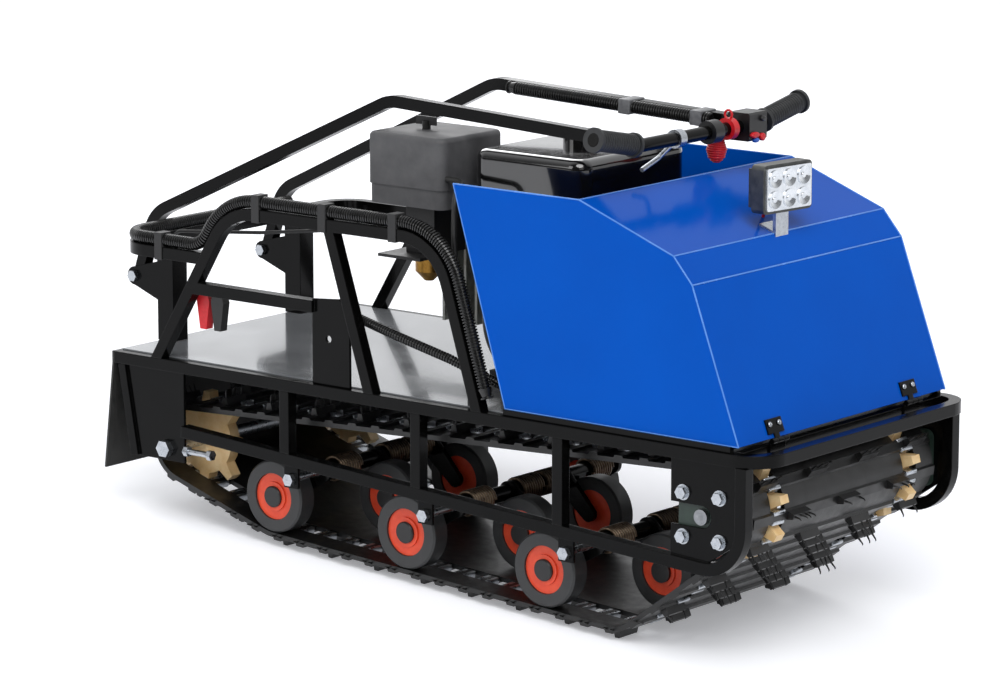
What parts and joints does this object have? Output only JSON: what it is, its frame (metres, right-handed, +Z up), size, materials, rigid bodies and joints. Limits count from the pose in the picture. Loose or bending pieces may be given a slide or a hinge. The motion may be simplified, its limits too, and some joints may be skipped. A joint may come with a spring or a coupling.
{
  "type": "tracked snow tug",
  "caption": "Walk-behind tracked snow tug: rubber track under a tube frame, engine under a tilting hood, cargo deck with side hoops and a folding steering handle.",
  "frame": {"origin": "on the ground, below the middle of the outline", "axes": "+X forward, +Y to the machine's left, +Z up"},
  "size_m": [1.4352, 0.603, 0.822],
  "materials": {
    "frame_black": "gloss black powder coat",
    "hood_blue": "gloss blue powder coat",
    "deck_grey": "gloss grey",
    "zinc": "zinc plated",
    "steel": "turned steel",
    "track_rubber": "matte black",
    "roller_rubber": "dark grey",
    "roller_orange": "orange red",
    "cap_plastic": "dark grey",
    "sprocket_nylon": "tan nylon",
    "engine_black": "black paint",
    "engine_alloy": "cast",
    "tank_black": "gloss black",
    "filter_plastic": "textured black",
    "bronze": "yellow passivated",
    "grip_rubber": "ribbed grey",
    "switch_plastic": "black",
    "conduit_plastic": "corrugated black",
    "strap_black": "black webbing",
    "hose_rubber": "black",
    "lanyard_red": "red",
    "lamp_lens": "clear",
    "lamp_black": "cast housing"
  },
  "bodies": {
    "chassis": {"upper_frame": "frame_black", "cross_members": "frame_black", "side_frames": "frame_black", "posts": "frame_black", "deck": "deck_grey", "mud_flap": "track_rubber", "bearings": "steel", "front_shaft": "steel", "rear_shaft": "zinc", "track": "track_rubber", "front_sprockets": "sprocket_nylon", "rear_sprockets": "sprocket_nylon", "pivot_rods": "zinc", "swing_arms": "frame_black", "torsion_springs": "steel", "roller_tyres": "roller_rubber", "roller_discs": "roller_orange", "roller_caps": "cap_plastic", "hoops": "frame_black", "rear_loop": "frame_black", "rear_posts": "frame_black", "pivot_bolts": "zinc", "engine_block": "engine_black", "cylinder_head": "engine_alloy", "starter_housing": "engine_black", "belt_guard": "engine_black", "fuel_tank": "tank_black", "tank_cap": "tank_black", "air_filter": "filter_plastic", "carburettor": "engine_black", "silencer": "engine_black", "filter_knob": "zinc", "float_bowl": "bronze", "bearing_bolts": "zinc", "tensioners": "zinc", "frame_conduit": "conduit_plastic", "conduit_straps": "strap_black", "fuel_hose": "hose_rubber", "vent_hose": "conduit_plastic", "control_cable": "hose_rubber", "red_clamp": "lanyard_red", "black_clamp": "switch_plastic", "hood_seats": "frame_black", "hinge_bases": "frame_black"},
    "hood": {"hood": "hood_blue", "hood_hinges": "frame_black", "lamp_housing": "lamp_black", "lamp_lens": "lamp_lens", "lamp_bracket": "lamp_black", "lamp_wire": "lanyard_red"},
    "handle": {"handle_frame": "frame_black", "grips": "grip_rubber", "switch_block": "switch_plastic", "lanyard": "lanyard_red", "bar_clamp": "switch_plastic", "throttle_lever": "zinc", "arm_conduit": "conduit_plastic"}
  },
  "joints": [
    {"name": "handle_fold", "type": "hinge", "parent": "chassis", "child": "handle", "pos_m": [-0.70161, 0, 0.38721], "axis": [0, -1, 0], "range_deg": [0, 150]},
    {"name": "hood_tilt", "type": "hinge", "parent": "chassis", "child": "hood", "pos_m": [0.67002, 0, 0.37158], "axis": [0, 1, 0], "range_deg": [0, 95]}
  ]
}
